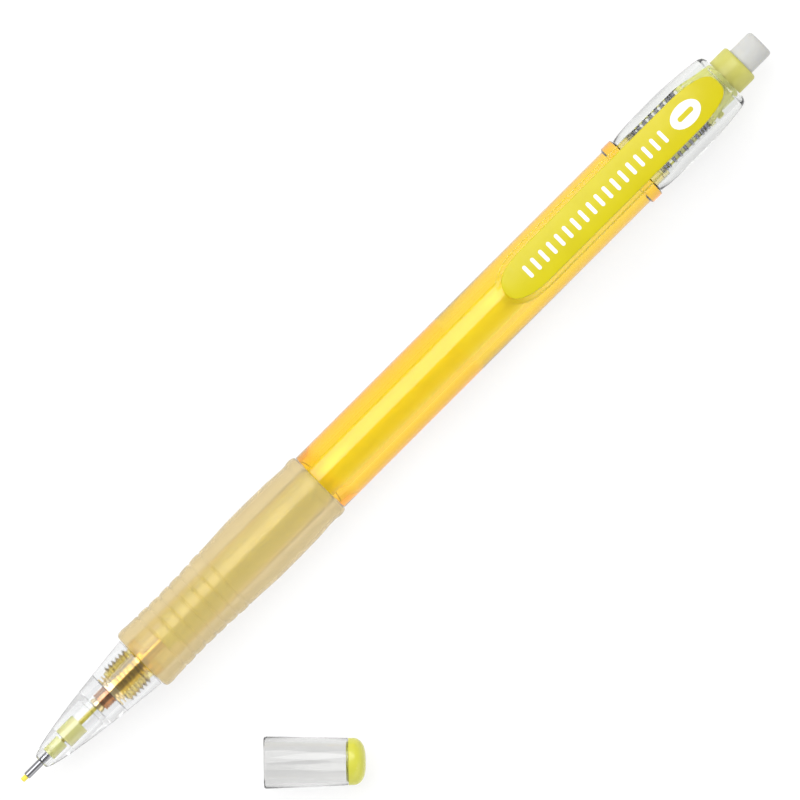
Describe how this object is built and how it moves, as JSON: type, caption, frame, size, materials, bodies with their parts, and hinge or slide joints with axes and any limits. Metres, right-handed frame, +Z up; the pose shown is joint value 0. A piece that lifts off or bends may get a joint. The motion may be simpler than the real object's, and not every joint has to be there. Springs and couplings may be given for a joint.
{
  "type": "mechanical pencil",
  "caption": "Slim transparent clutch pencil with a soft ringed grip, clip, sprung push button, eraser and a loose clear cap beside it.",
  "frame": {"origin": "on the surface that the pencil lies on, under the middle of the grip's widest ring", "axes": "+X along the pencil from the writing tip to the eraser, +Z up, out of the clip's face; +Y to the side away from the loose cap"},
  "size_m": [0.14, 0.0374, 0.0128],
  "materials": {
    "amber_plastic": "transparent amber, polished",
    "clear_plastic": "clear, polished",
    "frosted_rubber": "translucent, frosted",
    "brass": "turned, bright",
    "copper_brass": "turned, reddish",
    "steel": "drawn tube, bright",
    "spring_steel": "drawn wire, dark",
    "yellow_plastic": "moulded, satin",
    "yellow_inlay": "moulded, satin, with plain white printed marks",
    "lime_plastic": "moulded, fine matt",
    "soft_rubber": "soft, pale yellow",
    "lead_colour": "waxy yellow pencil lead",
    "white_vinyl": "matt white vinyl"
  },
  "bodies": {
    "housing": {"barrel": "amber_plastic", "grip": "frosted_rubber", "crown": "clear_plastic", "chuck_bushing": "brass", "return_spring": "spring_steel"},
    "mechanism": {"push_button": "lime_plastic", "lead_tube": "yellow_plastic", "tube_connector": "yellow_plastic", "chuck_stem": "brass", "spare_lead_1": "lead_colour", "spare_lead_2": "lead_colour", "spare_lead_3": "lead_colour"},
    "ring": {"clutch_ring": "copper_brass"},
    "lead": {"lead": "lead_colour"},
    "jaw_1": {"chuck_jaw_1": "brass"},
    "jaw_2": {"chuck_jaw_2": "brass"},
    "jaw_3": {"chuck_jaw_3": "brass"},
    "nose": {"nose_cone": "clear_plastic", "guide_pipe": "steel", "pipe_holder": "yellow_plastic", "lead_retainer": "soft_rubber"},
    "eraser": {"eraser": "white_vinyl"},
    "clip": {"clip": "clear_plastic", "clip_inlay": "yellow_inlay"},
    "cap": {"cap_shell": "clear_plastic", "cap_dome": "lime_plastic"}
  },
  "joints": [
    {"name": "knock", "type": "slide", "parent": "housing", "child": "mechanism", "axis": [-1, 0, 0], "range_m": [0, 0.0026], "stiffness_N_per_m": 800, "springref_m": -0.003, "deforming": ["return_spring"]},
    {"name": "ring_slide", "type": "slide", "parent": "housing", "child": "ring", "axis": [-1, 0, 0], "range_m": [0, 0.00065]},
    {"name": "lead_feed", "type": "slide", "parent": "housing", "child": "lead", "axis": [-1, 0, 0], "range_m": [0, 0.00065]},
    {"name": "jaw_1_open", "type": "hinge", "parent": "mechanism", "child": "jaw_1", "pos_m": [-0.029, 0, 0.0061], "axis": [0, 1, 0], "range_deg": [0, 2.5]},
    {"name": "jaw_2_open", "type": "hinge", "parent": "mechanism", "child": "jaw_2", "pos_m": [-0.029, -0.00081, 0.00471], "axis": [0, -0.5, 0.866], "range_deg": [0, 2.5]},
    {"name": "jaw_3_open", "type": "hinge", "parent": "mechanism", "child": "jaw_3", "pos_m": [-0.029, 0.00081, 0.00471], "axis": [0, -0.5, -0.866], "range_deg": [0, 2.5]},
    {"name": "nose_unscrew", "type": "slide", "parent": "housing", "child": "nose", "axis": [-1, 0, 0], "range_m": [0, 0.02]},
    {"name": "eraser_pull", "type": "slide", "parent": "mechanism", "child": "eraser", "axis": [1, 0, 0], "range_m": [0, 0.012]},
    {"name": "clip_flex", "type": "hinge", "parent": "housing", "child": "clip", "pos_m": [0.0866, 0, 0.00987], "axis": [0, 1, 0], "range_deg": [0, 5], "stiffness_Nm_per_rad": 1, "springref_deg": -1.15},
    {"name": "cap_lift", "type": "slide", "parent": "housing", "child": "cap", "axis": [0, 0, 1], "range_m": [0, 0.03]}
  ],
  "couplings": [
    {"joint": "ring_slide", "follows": "knock", "ratio": 0.25},
    {"joint": "lead_feed", "follows": "knock", "ratio": 0.25},
    {"joint": "jaw_1_open", "follows": "knock", "rad_per_m": 16.5},
    {"joint": "jaw_2_open", "follows": "knock", "rad_per_m": 16.5},
    {"joint": "jaw_3_open", "follows": "knock", "rad_per_m": 16.5}
  ]
}
